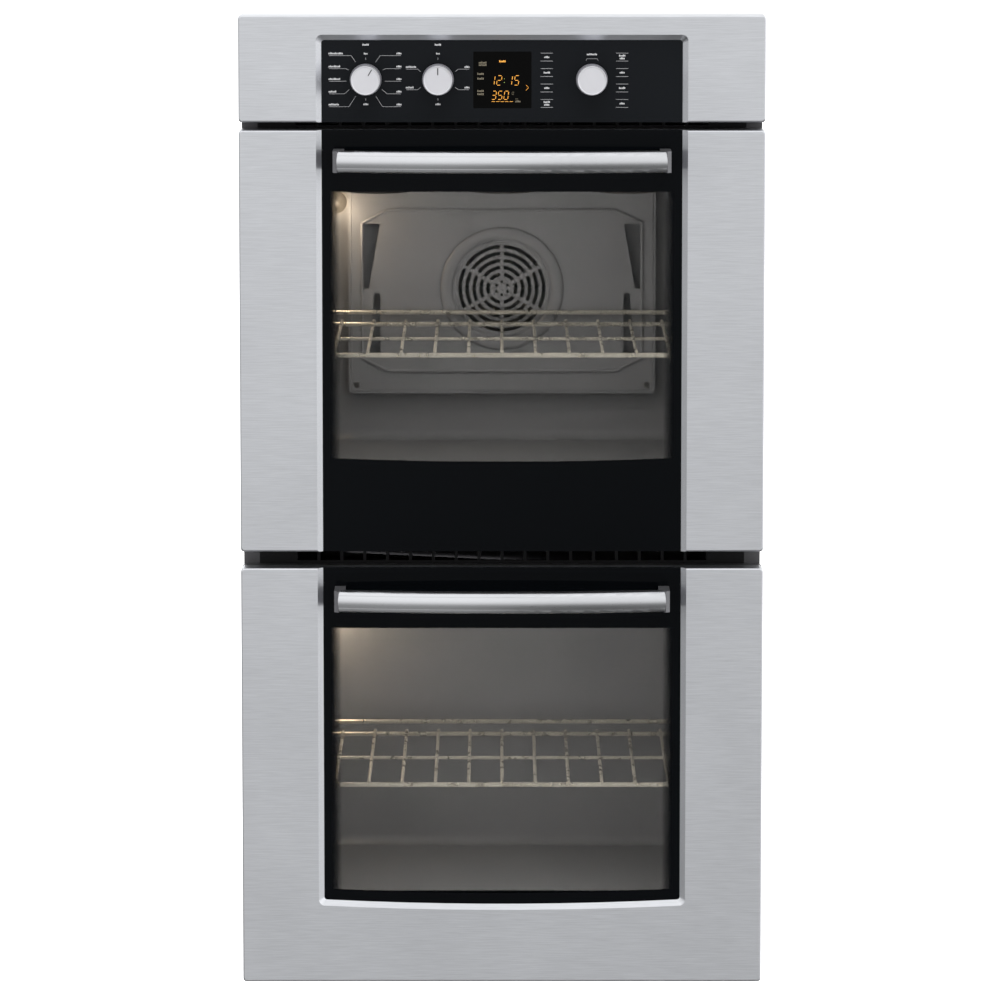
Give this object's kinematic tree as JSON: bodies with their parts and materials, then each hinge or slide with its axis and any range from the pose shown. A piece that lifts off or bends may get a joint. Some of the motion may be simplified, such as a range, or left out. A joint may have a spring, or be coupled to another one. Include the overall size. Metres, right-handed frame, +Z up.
{
  "type": "double wall oven",
  "caption": "Built-in double wall oven with a control fascia, two drop-down glazed doors with bowed handles, sliding wire racks and a fan in the upper oven.",
  "frame": {"origin": "centre of the bounding box at its base", "axes": "+Z up, +X to the right of someone facing the oven, front faces -Y"},
  "size_m": [0.68, 0.687, 1.2705],
  "materials": {
    "stainless": "fine horizontal brushing, satin",
    "handle_steel": "lengthwise brushing",
    "handle_cast": "grey satin casting",
    "black_glass": "black-edged tempered glass",
    "pane_glass": "clear heat-reflecting glass",
    "control_glass": "charcoal glass",
    "enamel": "grey porcelain enamel",
    "black_paint": "black satin paint",
    "trim_grey": "dark grey satin paint",
    "galvanised": "galvanised sheet",
    "nickel_wire": "nickel-plated wire",
    "heater": "dark oxidised sheath",
    "fibre": "mineral fibre blanket",
    "braid": "woven glass-fibre gasket",
    "satin_metal": "turned satin face, dark skirt",
    "zinc": "zinc plating",
    "board_green": "circuit board",
    "black_plastic": "moulded",
    "lamp_glass": "clear lens"
  },
  "bodies": {
    "chassis": {"upper_cavity": "enamel", "lower_cavity": "enamel", "insulation_blankets": "fibre", "door_gaskets": "braid", "broil_elements": "heater", "bake_elements": "heater", "rack_guides": "nickel_wire", "lamp_lenses": "lamp_glass", "lamp_holders": "zinc", "temperature_probes": "zinc", "latch_motors": "black_plastic", "hinge_receivers": "zinc", "vent_louvres": "black_paint", "fan_baffle": "enamel", "baffle_screws": "zinc", "convection_element": "heater", "fan_motor": "black_paint", "front_frame": "black_paint", "right_side_panel": "galvanised", "left_side_panel": "galvanised", "top_cover": "galvanised", "rear_cover": "galvanised", "base_tray": "galvanised", "inner_shelves": "galvanised", "trim_flanges": "trim_grey", "control_fascia": "stainless", "control_glass": "control_glass", "display_module": "black_plastic", "control_board": "board_green", "control_bracket": "galvanised", "knob_encoders": "black_plastic", "blower_housing": "galvanised", "blower_motor": "black_paint", "terminal_box": "galvanised", "conduit_gland": "zinc"},
    "upper_door": {"upper_door_skin": "stainless", "upper_door_outer_glass": "black_glass", "upper_door_inner_panes": "pane_glass", "upper_door_pane_carrier": "black_paint", "upper_door_liner": "enamel", "upper_door_hinge_arms": "zinc", "upper_handle_bar": "handle_steel", "upper_handle_posts": "handle_cast"},
    "upper_rack": {"upper_rack": "nickel_wire"},
    "upper_latch_hook": {"upper_latch_hook": "zinc"},
    "lower_door": {"lower_door_skin": "stainless", "lower_door_outer_glass": "black_glass", "lower_door_inner_panes": "pane_glass", "lower_door_pane_carrier": "black_paint", "lower_door_liner": "enamel", "lower_door_hinge_arms": "zinc", "lower_handle_bar": "handle_steel", "lower_handle_posts": "handle_cast"},
    "lower_rack": {"lower_rack": "nickel_wire"},
    "lower_latch_hook": {"lower_latch_hook": "zinc"},
    "upper_mode_knob": {"upper_mode_knob": "satin_metal"},
    "lower_mode_knob": {"lower_mode_knob": "satin_metal"},
    "settings_knob": {"settings_knob": "satin_metal"},
    "convection_fan": {"convection_fan": "zinc"},
    "cooling_blower_wheel": {"cooling_blower_wheel": "black_plastic"}
  },
  "joints": [
    {"name": "upper_door_hinge", "type": "hinge", "parent": "chassis", "child": "upper_door", "pos_m": [0, -0.2495, 0.5895], "axis": [1, 0, 0], "range_deg": [0, 90], "stiffness_Nm_per_rad": 14, "springref_deg": -28.65},
    {"name": "upper_rack_slide", "type": "slide", "parent": "chassis", "child": "upper_rack", "axis": [0, -1, 0], "range_m": [0, 0.28]},
    {"name": "upper_latch_swing", "type": "hinge", "parent": "chassis", "child": "upper_latch_hook", "pos_m": [0, -0.2115, 1.1075], "axis": [0, 0, -1], "range_deg": [0, 90]},
    {"name": "lower_door_hinge", "type": "hinge", "parent": "chassis", "child": "lower_door", "pos_m": [0, -0.2495, 0.019], "axis": [1, 0, 0], "range_deg": [0, 90], "stiffness_Nm_per_rad": 14, "springref_deg": -28.65},
    {"name": "lower_rack_slide", "type": "slide", "parent": "chassis", "child": "lower_rack", "axis": [0, -1, 0], "range_m": [0, 0.28]},
    {"name": "lower_latch_swing", "type": "hinge", "parent": "chassis", "child": "lower_latch_hook", "pos_m": [0, -0.2115, 0.537], "axis": [0, 0, -1], "range_deg": [0, 90]},
    {"name": "upper_mode_knob_turn", "type": "hinge", "parent": "chassis", "child": "upper_mode_knob", "pos_m": [-0.1757, -0.2815, 1.1875], "axis": [0, 1, 0], "continuous": true},
    {"name": "lower_mode_knob_turn", "type": "hinge", "parent": "chassis", "child": "lower_mode_knob", "pos_m": [-0.0826, -0.2815, 1.1875], "axis": [0, 1, 0], "continuous": true},
    {"name": "settings_knob_turn", "type": "hinge", "parent": "chassis", "child": "settings_knob", "pos_m": [0.1158, -0.2815, 1.1875], "axis": [0, 1, 0], "continuous": true},
    {"name": "convection_fan_spin", "type": "hinge", "parent": "chassis", "child": "convection_fan", "pos_m": [0, 0.2415, 0.869], "axis": [0, 1, 0], "continuous": true},
    {"name": "cooling_blower_spin", "type": "hinge", "parent": "chassis", "child": "cooling_blower_wheel", "pos_m": [0, 0.17, 1.1155], "axis": [0, 0, 1], "continuous": true}
  ],
  "couplings": [
    {"joint": "upper_rack_slide", "follows": "upper_door_hinge", "m_per_rad": 0.178},
    {"joint": "lower_rack_slide", "follows": "lower_door_hinge", "m_per_rad": 0.178}
  ]
}
